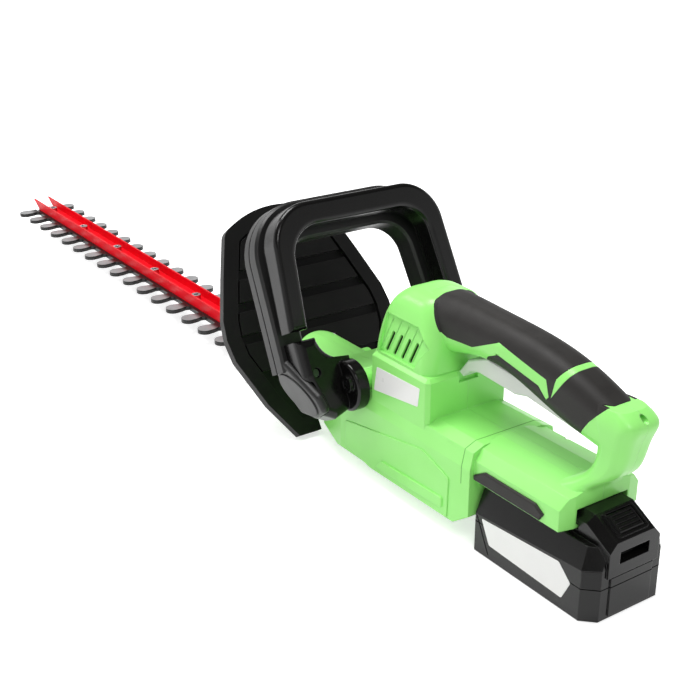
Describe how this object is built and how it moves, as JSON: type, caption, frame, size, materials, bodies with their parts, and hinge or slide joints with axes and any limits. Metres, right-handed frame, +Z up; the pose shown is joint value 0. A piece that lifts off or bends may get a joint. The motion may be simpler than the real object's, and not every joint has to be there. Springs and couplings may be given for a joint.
{
  "type": "cordless hedge trimmer",
  "caption": "Cordless hedge trimmer with reciprocating toothed blades on a channel, hand guard, loop front handle with switch bail, rear trigger handle and slide-on battery pack",
  "frame": {"origin": "centre of the battery pack's flat base, which the tool stands on together with the two lower tips of the guard", "axes": "-X runs along the blades towards their tip, +Y is the right side as held, +Z is up"},
  "size_m": [1.0675, 0.184, 0.2203],
  "materials": {
    "green_plastic": "bright green, satin moulded",
    "soft_grip": "matt black soft skin",
    "black_plastic": "satin black moulded",
    "dark_plastic": "fine-grained black",
    "trigger_plastic": "light grey moulded",
    "blade_steel": "ground and oiled",
    "red_paint": "bright red powder coat",
    "fastener_steel": "blackened",
    "gear_steel": "machined",
    "cast_alloy": "as cast",
    "motor_plate": "zinc plated",
    "board_laminate": "green laminate",
    "contact_brass": "bright",
    "cell_can": "sleeved cells",
    "spring_steel": "drawn wire"
  },
  "bodies": {
    "casing": {"housing_left": "green_plastic", "housing_right": "green_plastic", "grip_overmould": "soft_grip", "rail_pads": "soft_grip", "housing_screws": "fastener_steel", "guard": "black_plastic", "guard_screws": "fastener_steel", "handle_frame": "black_plastic", "handle_bracket_left": "black_plastic", "handle_bracket_right": "black_plastic", "bracket_screws": "fastener_steel", "bail_switch": "dark_plastic", "trigger_pin": "fastener_steel", "trigger_spring": "spring_steel", "trigger_switch": "dark_plastic", "blade_channel": "red_paint", "channel_bolts": "fastener_steel", "channel_nuts": "fastener_steel", "gear_base": "cast_alloy", "gear_case": "cast_alloy", "gear_cover": "cast_alloy", "crank_bearings": "gear_steel", "motor_can": "motor_plate", "motor_cap": "dark_plastic", "motor_screws": "fastener_steel", "controller_board": "board_laminate", "terminal_block": "dark_plastic", "terminal_tabs": "contact_brass"},
    "trigger": {"trigger_lever": "trigger_plastic"},
    "bail": {"switch_bail": "black_plastic", "bail_springs": "spring_steel"},
    "upper_bar": {"upper_blade": "blade_steel"},
    "lower_bar": {"lower_blade": "blade_steel"},
    "crank": {"crank_shaft": "gear_steel", "crank_gear": "gear_steel"},
    "rotor": {"motor_shaft": "gear_steel", "motor_pinion": "gear_steel", "cooling_fan": "dark_plastic"},
    "pack": {"battery_lower_case": "black_plastic", "battery_upper_case": "black_plastic", "battery_cells": "cell_can", "battery_board": "board_laminate", "battery_contacts": "contact_brass"},
    "latch": {"latch_button": "dark_plastic", "latch_spring": "spring_steel"}
  },
  "joints": [
    {"name": "trigger_pull", "type": "hinge", "parent": "casing", "child": "trigger", "pos_m": [0.014, 0, 0.1285], "axis": [0, 1, 0], "range_deg": [0, 4], "stiffness_Nm_per_rad": 2, "springref_deg": -4.01, "deforming": ["trigger_spring"]},
    {"name": "bail_squeeze", "type": "slide", "parent": "casing", "child": "bail", "axis": [-0.8829, 0, -0.4695], "range_m": [0, 0.006], "stiffness_N_per_m": 800, "springref_m": -0.004},
    {"name": "upper_blade_slide", "type": "slide", "parent": "casing", "child": "upper_bar", "axis": [1, 0, 0], "range_m": [-0.008, 0.008]},
    {"name": "lower_blade_slide", "type": "slide", "parent": "casing", "child": "lower_bar", "axis": [1, 0, 0], "range_m": [-0.008, 0.008]},
    {"name": "crank_spin", "type": "hinge", "parent": "casing", "child": "crank", "pos_m": [-0.18615, 0, 0.045], "axis": [0, 0, 1], "continuous": true},
    {"name": "motor_spin", "type": "hinge", "parent": "casing", "child": "rotor", "pos_m": [-0.156, 0, 0.09], "axis": [0, 0, 1], "continuous": true},
    {"name": "battery_slide", "type": "slide", "parent": "casing", "child": "pack", "axis": [1, 0, 0], "range_m": [0, 0.11]},
    {"name": "latch_press", "type": "slide", "parent": "pack", "child": "latch", "axis": [-0.4819, 0, -0.8762], "range_m": [0, 0.003], "stiffness_N_per_m": 900, "springref_m": -0.003}
  ],
  "couplings": [
    {"joint": "lower_blade_slide", "follows": "upper_blade_slide", "ratio": -1},
    {"joint": "motor_spin", "follows": "crank_spin", "ratio": -5}
  ]
}
